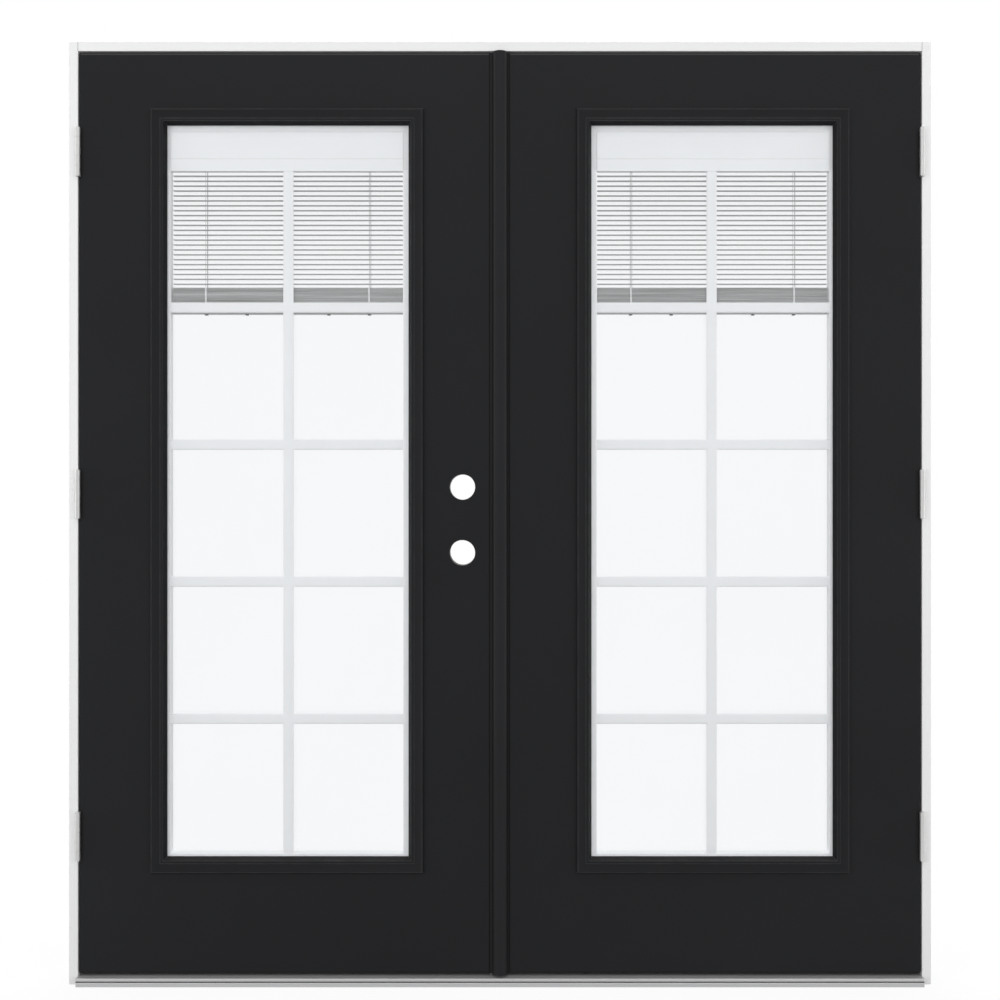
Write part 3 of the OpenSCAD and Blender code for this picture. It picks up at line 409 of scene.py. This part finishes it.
def softenNode(node, width, shortest=soften["shortest"]):
    # a CAD node's own shape with its long edges eased, as paint and extrusion leave them
    bm = bmesh.new()
    bm.from_mesh(frame["nodes"][node].data)
    bmesh.ops.remove_doubles(bm, verts=bm.verts, dist=soften["merge"] * mm)
    flat, limit = math.radians(soften["flatWithin"]), math.radians(soften["fromAngle"])
    bmesh.ops.dissolve_limit(bm, angle_limit=flat, verts=bm.verts, edges=bm.edges)
    eased = [e for e in bm.edges if len(e.link_faces) == 2 and e.calc_length() > shortest * mm
             and e.calc_face_angle(0) > limit]
    easeEdges(bm, eased, width, soften["steps"])
    name = "".join(word.capitalize() for word in node.split("_"))
    name = name[0].lower() + name[1:]
    return placePiece(name, bm, finishOf(node), bodyOf[node], (node,))


# edges eased by this many millimetres
easedEdges = {
    "left_jamb": 1.1, "right_jamb": 1.1, "head_jamb": 1.1, "sill_base": 0.5, "sill_cover": 0.35,
    "astragal": 0.5, "hinge_pins": 0.25, "left_frame_hinge_leaves": 0.3, "right_frame_hinge_leaves": 0.3,
    "top_shoot_bolt": 0.6, "bottom_shoot_bolt": 0.6, "frame_weatherstrip": 0.9, "sill_bumper": 0.9,
}
sideEdges = {
    "outer_skin": 0.6, "inner_skin": 0.6, "glass_spacer": 0.6, "grille": 0.45, "blind_header": 0.5,
    "blind_bottom_rail": 0.9, "blind_slider": 0.5, "door_sweep": 0.4, "door_hinge_leaves": 0.3,
}
for side in ("left", "right"):
    easedEdges.update({side + "_" + part: width for part, width in sideEdges.items()})
for node, width in easedEdges.items():
    softenNode(node, width)
print("doors: edges eased on", len(easedEdges), "nodes")


# lite frames: a moulded section swept round the glass, mitred at the corners
liteFrame = {"proud": 9.0, "bevelWidth": 4.4, "edgeHeight": 1.2, "coveStart": 6.4, "coveLow": 3.4,
             "beadCentre": 25.3, "beadRadius": 3.2, "beadRise": 1.5, "border": 34.5, "lip": 1.5,
             "glassDepth": 8.75, "wall": (13.3, 20.3), "wallDepth": 22.25, "curveSteps": 14,
             "ease": 0.55, "easeFrom": 24.0, "easeSteps": 3, "shortestRun": 200.0}
innerLiteFrame = {"ease": 0.3, "shortest": 100.0}


def liteSection():
    f = liteFrame
    steps = f["curveSteps"]
    coveEnd = f["beadCentre"] - f["beadRadius"]
    points = [(0.0, 0.0), (0.0, f["edgeHeight"]), (f["bevelWidth"], f["proud"])]
    for i in range(steps + 1):
        t = i / steps
        points.append((f["coveStart"] + (coveEnd - f["coveStart"]) * t,
                       f["proud"] - (f["proud"] - f["coveLow"]) * math.sin(math.pi / 2 * t)))
    for i in range(1, steps):
        a = math.pi * i / steps
        points.append((f["beadCentre"] - f["beadRadius"] * math.cos(a),
                       f["coveLow"] + f["beadRise"] * math.sin(a)))
    wallOut, wallIn = f["wall"]
    points += [(f["beadCentre"] + f["beadRadius"], f["coveLow"]), (f["border"], f["lip"] - f["glassDepth"]),
               (f["border"], -f["glassDepth"]), (wallIn, -f["glassDepth"]), (wallIn, -f["wallDepth"]),
               (wallOut, -f["wallDepth"]), (wallOut, 0.0)]
    return points


def sweepRound(bm, section, low, high, faceY):
    # section points run in from the frame's outer edge; each corner is the mirror image of the last
    middle = (low + high) / 2
    ring = [bm.verts.new((low.x + s * mm, faceY - h * mm, low.z + s * mm)) for s, h in section]
    edges = [bm.edges.new(pair) for pair in zip(ring, ring[1:] + ring[:1])]
    first, current = edges, edges
    toMiddle = Matrix.Translation(-Vector((middle.x, 0, middle.z)))
    for flip in ((-1, 1, 1), (1, 1, -1), (-1, 1, 1)):
        made = bmesh.ops.extrude_edge_only(bm, edges=current)["geom"]
        verts = [g for g in made if isinstance(g, bmesh.types.BMVert)]
        current = [g for g in made
                   if isinstance(g, bmesh.types.BMEdge) and all(v in verts for v in g.verts)]
        bmesh.ops.scale(bm, vec=flip, space=toMiddle, verts=verts)
    bmesh.ops.bridge_loops(bm, edges=first + current)


def runsAlong(edge):
    # true for an edge along a side of the frame, false for one in a mitre
    way = edge.verts[0].co - edge.verts[1].co
    return abs(abs(way.x) - abs(way.z)) > liteFrame["shortestRun"] * mm


def makeOuterLiteFrame(side):
    node = side + "_outer_lite_frame"
    low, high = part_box(node)
    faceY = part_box(side + "_outer_skin")[0].y
    bm = bmesh.new()
    sweepRound(bm, liteSection(), low, high, faceY)
    limit = math.radians(liteFrame["easeFrom"])
    crisp = [e for e in bm.edges
             if len(e.link_faces) == 2 and e.calc_face_angle(0) > limit and runsAlong(e)]
    easeEdges(bm, crisp, liteFrame["ease"], liteFrame["easeSteps"])
    bmesh.ops.recalc_face_normals(bm, faces=bm.faces)
    placePiece(side + "OuterLiteFrame", bm, finishes["liteBlack"], bodyOf[node], (node,))


for side in ("left", "right"):
    makeOuterLiteFrame(side)
    softenNode(side + "_inner_lite_frame", innerLiteFrame["ease"], innerLiteFrame["shortest"])
print("doors: lite frames swept")


# blinds: crowned slats on ladder cords, and the gathered slats under them
blind = {"pitch": 10.5, "count": 23, "depth": 12.5, "crown": 1.2, "thick": 0.45, "corner": 2.2,
         "cordRadius": 0.45, "rungRadius": 0.3, "liftRadius": 0.6, "liftBeside": 3.0, "ladderShare": 0.355,
         "firstDrop": 9.5, "headerFoot": 1729.5, "keep": 0.1935}
stack = {"slats": 54, "thick": 0.34, "slip": (0.35, 0.7), "tilt": 1.6, "seed": 11}
slack = {"wide": 3.2, "thick": 0.15, "folds": 18, "foldDepth": 0.3, "fromSlat": 0.15}
ladderShares = (-blind["ladderShare"], blind["ladderShare"])


def addRod(bm, start, end, radius, sides=6):
    start, end = Vector(start), Vector(end)
    way = end - start
    turn = way.to_track_quat("Z", "Y").to_matrix().to_4x4()
    bmesh.ops.create_cone(bm, cap_ends=True, segments=sides, radius1=radius, radius2=radius,
                          depth=way.length, matrix=Matrix.Translation((start + end) / 2) @ turn)


def slatPattern(length, thick):
    # a flat strip with rounded corners, rolled to its crown and thickened
    depth, crown = blind["depth"] * mm, blind["crown"] * mm
    bm = bmesh.new()
    verts = bmesh.ops.create_grid(bm, x_segments=6, y_segments=8, size=0.5)["verts"]
    bmesh.ops.scale(bm, vec=(length, depth, 1), verts=verts)
    corners = [v for v in verts if abs(v.co.x) > length / 2 - near and abs(v.co.y) > depth / 2 - near]
    bmesh.ops.bevel(bm, geom=corners, offset=blind["corner"] * mm, offset_type="OFFSET", segments=3,
                    profile=0.5, affect="VERTICES", clamp_overlap=True, material=-1)
    for v in bm.verts:
        v.co.z = crown * (1 - (2 * v.co.y / depth) ** 2)
    bmesh.ops.solidify(bm, geom=bm.faces[:], thickness=thick)
    bmesh.ops.recalc_face_normals(bm, faces=bm.faces)
    pattern = bpy.data.meshes.new("slatPattern")
    bm.to_mesh(pattern)
    bm.free()
    return pattern


def layPattern(bm, pattern, place):
    known = set(bm.verts)
    bm.from_mesh(pattern)
    bmesh.ops.transform(bm, matrix=place, verts=[v for v in bm.verts if v not in known])


def makeHangingSlats(side):
    node = side + "_hanging_slats"
    low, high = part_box(node)
    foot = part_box(side + "_slat_stack")[1].z
    middle = (low + high) / 2
    length = high.x - low.x
    headerFoot = blind["headerFoot"] * mm
    pattern = slatPattern(length, blind["thick"] * mm)
    bm = bmesh.new()
    heights = [headerFoot - (blind["firstDrop"] + i * blind["pitch"]) * mm for i in range(blind["count"])]
    for z in heights:
        layPattern(bm, pattern, Matrix.Translation((middle.x, middle.y, z)))
    bpy.data.meshes.remove(pattern)
    cord, rung, lift = (blind[name] * mm for name in ("cordRadius", "rungRadius", "liftRadius"))
    front = middle.y - blind["depth"] * mm / 2 - cord
    back = middle.y + blind["depth"] * mm / 2 + cord
    for share in ladderShares:
        x = middle.x + share * length
        for y in (front, back):
            addRod(bm, (x, y, foot), (x, y, high.z), cord)
        for z in heights:
            under = z - blind["thick"] * mm - rung
            addRod(bm, (x, front, under), (x, back, under), rung, 5)
        beside = x + blind["liftBeside"] * mm
        addRod(bm, (beside, middle.y, foot), (beside, middle.y, high.z), lift)
    # the slats' grey finish is painted shade for their undersides
    piece = placePiece(side + "HangingSlats", bm, finishes["slatWhite"], bodyOf[node], (node,))
    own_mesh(piece)


def makeSlatStack(side):
    node = side + "_slat_stack"
    low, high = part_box(node)
    middle = (low + high) / 2
    slipX, slipY = stack["slip"]
    thick = stack["thick"] * mm
    length = high.x - low.x - 2 * slipX * mm
    pattern = slatPattern(length, thick)
    draw = random.Random(stack["seed"])
    bm = bmesh.new()
    rise = (high.z - low.z - blind["crown"] * mm - thick) / (stack["slats"] - 1)
    for i in range(stack["slats"]):
        slip = Vector((draw.uniform(-1, 1) * slipX, draw.uniform(-1, 1) * slipY, 0)) * mm
        tilt = Matrix.Rotation(math.radians(draw.uniform(-1, 1) * stack["tilt"]), 4, "X")
        place = Vector((middle.x, middle.y, low.z + thick + i * rise)) + slip
        layPattern(bm, pattern, Matrix.Translation(place) @ tilt)
    bpy.data.meshes.remove(pattern)
    # the stack's darker banded finish is painted shade between the gathered slats
    placePiece(side + "SlatStack", bm, finishes["stackWhite"], bodyOf[node], (node,))
    makeLadderSlack(side, low, high, length)


def makeLadderSlack(side, low, high, length):
    # the ladders' slack, folded up against both faces of the stack
    node = side + "_slat_stack"
    middle = (low + high) / 2
    tall = high.z - low.z
    folds = slack["folds"]
    bm = bmesh.new()
    for share in ladderShares:
        for face in (-1, 1):
            made = bmesh.ops.create_grid(bm, x_segments=2, y_segments=folds, size=0.5)["verts"]
            bmesh.ops.scale(bm, vec=(slack["wide"] * mm, tall, 1), verts=made)
            bmesh.ops.rotate(bm, matrix=Matrix.Rotation(math.pi / 2, 3, "X"), verts=made)
            for v in made:
                fold = round((v.co.z / tall + 0.5) * folds)
                off = slack["fromSlat"] + slack["foldDepth"] * (fold % 2)
                v.co.y = face * (blind["depth"] / 2 + off) * mm
            bmesh.ops.translate(bm, vec=(middle.x + share * length, middle.y, middle.z), verts=made)
    bmesh.ops.solidify(bm, geom=bm.faces[:], thickness=slack["thick"] * mm)
    bmesh.ops.recalc_face_normals(bm, faces=bm.faces)
    placePiece(side + "LadderSlack", bm, finishes["tapeWhite"], bodyOf[node])


# grey buttons that end the cords under the bottom rail
cordButton = {"radius": 3.5, "flare": 0.7, "height": 2.7, "sink": 0.3, "crown": 0.9,
              "shares": (-0.355, -0.1775, 0.1775, 0.355)}


def makeCordButtons(side):
    node = side + "_blind_bottom_rail"
    low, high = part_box(node)
    middle = (low + high) / 2
    radius, tall = cordButton["radius"] * mm, cordButton["height"] * mm
    top = radius + cordButton["flare"] * mm
    foot = low.z - cordButton["sink"] * mm
    bm = bmesh.new()
    for share in cordButton["shares"]:
        place = Matrix.Translation((middle.x + share * (high.x - low.x), middle.y, foot + tall / 2))
        made = bmesh.ops.create_cone(bm, cap_ends=True, segments=24, radius1=radius, radius2=top,
                                     depth=tall, matrix=place)["verts"]
        rim = [e for e in bm.edges if all(v in made and abs(v.co.z - foot) < 10 * near for v in e.verts)]
        easeEdges(bm, rim, cordButton["crown"], 4)
    placePiece(side + "CordButtons", bm, finishes["buttonGrey"], bodyOf[node])


for side in ("left", "right"):
    makeHangingSlats(side)
    makeSlatStack(side)
    makeCordButtons(side)
print("doors: blinds hung")


def makeBar(bm, low, high):
    made = bmesh.ops.create_cube(bm, size=1)["verts"]
    bmesh.ops.scale(bm, vec=[b - a for a, b in zip(low, high)], verts=made)
    bmesh.ops.translate(bm, vec=[(a + b) / 2 for a, b in zip(low, high)], verts=made)


# brush that is rooted in the astragal and shuts the slit to the active leaf
seamBrush = {"thick": 0.9, "fromFace": 2.2, "press": 0.3, "root": 2.0, "ease": 0.25}


def makeSeamBrush():
    low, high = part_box("astragal")
    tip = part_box("left_lock_stile")[1].x - seamBrush["press"] * mm
    root = low.x + seamBrush["root"] * mm
    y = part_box("left_outer_skin")[0].y + seamBrush["fromFace"] * mm
    half = seamBrush["thick"] * mm / 2
    bm = bmesh.new()
    makeBar(bm, (tip, y - half, low.z), (root, y + half, high.z))
    upright = [e for e in bm.edges if abs(e.verts[0].co.z - e.verts[1].co.z) > near]
    easeEdges(bm, upright, seamBrush["ease"], 2)
    placePiece("seamBrush", bm, finishes["sealBlack"], "right_leaf")


makeSeamBrush()
print("doors: seam brush set")


# thermal gasket that shows as the dark line between the sill's base and its metal deck; its black is also
# painted shade of the groove there
sillGasket = {"foot": 9.55, "top": 11.2, "inset": -0.2, "thick": 1.2}


def makeSillShadeGasket():
    g = sillGasket
    low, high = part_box("sill_cover")
    front = low.y + g["inset"] * mm
    bm = bmesh.new()
    makeBar(bm, (low.x, front, g["foot"] * mm), (high.x, front + g["thick"] * mm, g["top"] * mm))
    # black strip set slightly proud, painting the groove's shade
    placePiece("sillGasket", bm, finishes["sealBlack"], "frame")


makeSillShadeGasket()
print("doors: sill gasket laid")


# folded hem along the top of each leaf, in a lighter black as a painted highlight of the top edge; and the
# fine joint where the head meets the jambs, a grey bead as painted shade of the groove there
leafTopHighlight = {"height": 2.7, "below": 0.1, "proud": 0.4, "deep": 1.0, "inset": 1.5, "ease": 0.2}
frameJointShade = {"wide": 0.9, "proud": 0.03, "deep": 0.9, "end": 895.0, "foot": 1979.0, "inset": 0.4}


def makeLeafTopHighlight(side):
    h = leafTopHighlight
    low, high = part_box(side + "_outer_skin")
    start, stop = low.x + h["inset"] * mm, high.x - h["inset"] * mm
    top = high.z - h["below"] * mm
    bm = bmesh.new()
    makeBar(bm, (start, low.y - h["proud"] * mm, top - h["height"] * mm),
            (stop, low.y + h["deep"] * mm, top))
    easeEdges(bm, bm.edges[:], h["ease"], 2)
    # the strip's lighter finish is the painted highlight of the leaf's top edge
    placePiece(side + "LeafHem", bm, finishes["hemBlack"], side + "_leaf")


def makeFrameJointShades():
    j = frameJointShade
    low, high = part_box("head_jamb")
    bm = bmesh.new()
    for end in (-j["end"], j["end"]):
        makeBar(bm, ((end - j["wide"] / 2) * mm, low.y - j["proud"] * mm, (j["foot"] + j["inset"]) * mm),
                ((end + j["wide"] / 2) * mm, low.y + j["deep"] * mm, high.z - j["inset"] * mm))
    # a grey bead in each joint, standing in for the groove's shade
    placePiece("frameJoints", bm, finishes["jointGrey"], "frame")


for side in ("left", "right"):
    makeLeafTopHighlight(side)
makeFrameJointShades()
print("doors: hems and frame joints made")


# lamps: none shows to the camera or through glass, and only a mirrored one shows in reflections
lamps = {
    "topSoft": {"place": (0.0, -2.8, 4.8), "aim": (0, 0, 1.0), "size": (4.2, 2.2), "power": 44.0,
                "mirrored": True},
    "leftSoft": {"place": (-3.3, -3.2, 1.2), "aim": (0, 0, 0.9), "size": (1.8, 2.6), "power": 50.0},
    "rightSoft": {"place": (3.3, -3.2, 1.2), "aim": (0, 0, 0.9), "size": (1.8, 2.6), "power": 40.0},
    "frontPanel": {"place": (0.0, -6.5, 1.7), "aim": (0, 0, 0.9), "size": (10.0, 6.0), "power": 122.0},
    "leftStrip": {"place": (-2.4, -0.35, 1.5), "aim": (0, -0.06, 1.5), "size": (0.5, 3.0), "power": 9.5,
                  "mirrored": True},
    "rightStrip": {"place": (2.4, -0.35, 1.5), "aim": (0, -0.06, 1.5), "size": (0.5, 3.0), "power": 9.5,
                   "mirrored": True},
    "roomSoft": {"place": (0.0, 3.4, 4.6), "aim": (0, 0, 1.0), "size": (4.2, 2.2), "power": 130.0},
}


def hangLamp(name, lamp):
    data = bpy.data.lights.new(name, "AREA")
    data.shape = "RECTANGLE"
    data.size, data.size_y = lamp["size"]
    data.energy = lamp["power"]
    obj = bpy.data.objects.new(name, data)
    obj.location = lamp["place"]
    obj.rotation_euler = (Vector(lamp["aim"]) - obj.location).to_track_quat("-Z", "Y").to_euler()
    obj.visible_camera = False
    obj.visible_transmission = False
    obj.visible_glossy = lamp.get("mirrored", False)
    scene.collection.objects.link(obj)


for name, lamp in lamps.items():
    hangLamp(name, lamp)
print("doors: lamps hung,", len(lamps))


# background and floor: white to the camera, in glass and in metal, and duller as light on the doors
backdrop = {"fill": 0.43, "fillColor": (0.97, 0.985, 1.0, 1), "white": (1, 1, 1, 1)}
floorLook = {"size": 14.0, "drop": 0.6, "tone": 0.92, "bounce": 0.42, "rough": 0.9, "specular": 0.1,
             "shadowReach": (0.01, 0.30), "shadowShare": 0.88}


def seenDirectly(tree):
    # 1 where the camera looks, also through glass or in a mirror image
    path = addNode(tree, "ShaderNodeLightPath")
    through = addNode(tree, "ShaderNodeMath", operation="MAXIMUM")
    either = addNode(tree, "ShaderNodeMath", operation="MAXIMUM")
    tree.links.new(path.outputs["Is Camera Ray"], through.inputs[0])
    tree.links.new(path.outputs["Is Transmission Ray"], through.inputs[1])
    tree.links.new(through.outputs[0], either.inputs[0])
    tree.links.new(path.outputs["Is Glossy Ray"], either.inputs[1])
    return either.outputs[0]


def mixShaders(tree, factor, first, second):
    mix = addNode(tree, "ShaderNodeMixShader")
    tree.links.new(factor, mix.inputs["Fac"])
    tree.links.new(first, mix.inputs[1])
    tree.links.new(second, mix.inputs[2])
    return mix.outputs["Shader"]


def makeBackdrop():
    world = bpy.data.worlds.new("studio")
    scene.world = world
    world.use_nodes = True
    tree = world.node_tree
    tree.nodes.clear()
    fill = addNode(tree, "ShaderNodeBackground", {"Color": backdrop["fillColor"],
                                                  "Strength": backdrop["fill"]})
    white = addNode(tree, "ShaderNodeBackground", {"Color": backdrop["white"], "Strength": 1.0})
    end = addNode(tree, "ShaderNodeOutputWorld")
    shown = mixShaders(tree, seenDirectly(tree), fill.outputs["Background"], white.outputs["Background"])
    tree.links.new(shown, end.inputs["Surface"])


def awayFromDoors(tree):
    # distance on the floor from the doors' foot line, sideways only past the frame
    coords = addNode(tree, "ShaderNodeTexCoord")
    split = addNode(tree, "ShaderNodeSeparateXYZ")
    past = addNode(tree, "ShaderNodeMath", operation="ABSOLUTE")
    beside = addNode(tree, "ShaderNodeMath", {1: cadBox[1].x}, operation="SUBTRACT")
    outside = addNode(tree, "ShaderNodeMath", {1: 0.0}, operation="MAXIMUM")
    spot = addNode(tree, "ShaderNodeCombineXYZ")
    far = addNode(tree, "ShaderNodeVectorMath", operation="LENGTH")
    tree.links.new(coords.outputs["Object"], split.inputs[0])
    tree.links.new(split.outputs["X"], past.inputs[0])
    tree.links.new(past.outputs[0], beside.inputs[0])
    tree.links.new(beside.outputs[0], outside.inputs[0])
    tree.links.new(outside.outputs[0], spot.inputs["X"])
    tree.links.new(split.outputs["Y"], spot.inputs["Y"])
    tree.links.new(spot.outputs[0], far.inputs[0])
    return far.outputs["Value"]


def makeFloorFinish():
    mat = bpy.data.materials.new("paleFloor")
    mat.use_nodes = True
    tree = mat.node_tree
    shader = tree.nodes["Principled BSDF"]
    shader.inputs["Base Color"].default_value = (floorLook["tone"],) * 3 + (1,)
    shader.inputs["Roughness"].default_value = floorLook["rough"]
    shader.inputs["Specular IOR Level"].default_value = floorLook["specular"]
    dull = addNode(tree, "ShaderNodeBsdfDiffuse", {"Color": (floorLook["bounce"],) * 3 + (1,)})
    glow = addNode(tree, "ShaderNodeEmission", {"Color": backdrop["white"], "Strength": 1.0})
    start, stop = floorLook["shadowReach"]
    fade = addNode(tree, "ShaderNodeMapRange", {"From Min": start, "From Max": stop,
                                                "To Min": floorLook["shadowShare"], "To Max": 1.0})
    tree.links.new(awayFromDoors(tree), fade.inputs["Value"])
    shadowed = mixShaders(tree, fade.outputs["Result"], shader.outputs["BSDF"], glow.outputs["Emission"])
    shown = mixShaders(tree, seenDirectly(tree), dull.outputs["BSDF"], shadowed)
    tree.links.new(shown, tree.nodes["Material Output"].inputs["Surface"])
    return mat


def makeFloor():
    bm = bmesh.new()
    bmesh.ops.create_grid(bm, x_segments=1, y_segments=1, size=floorLook["size"] / 2)
    bmesh.ops.translate(bm, vec=(0, 0, -floorLook["drop"] * mm), verts=bm.verts)
    mesh = bpy.data.meshes.new("paleFloor")
    bm.to_mesh(mesh)
    bm.free()
    mesh.materials.append(makeFloorFinish())
    floor = bpy.data.objects.new("paleFloor", mesh)
    scene.collection.objects.link(floor)


makeBackdrop()
makeFloor()
print("doors: stage set")
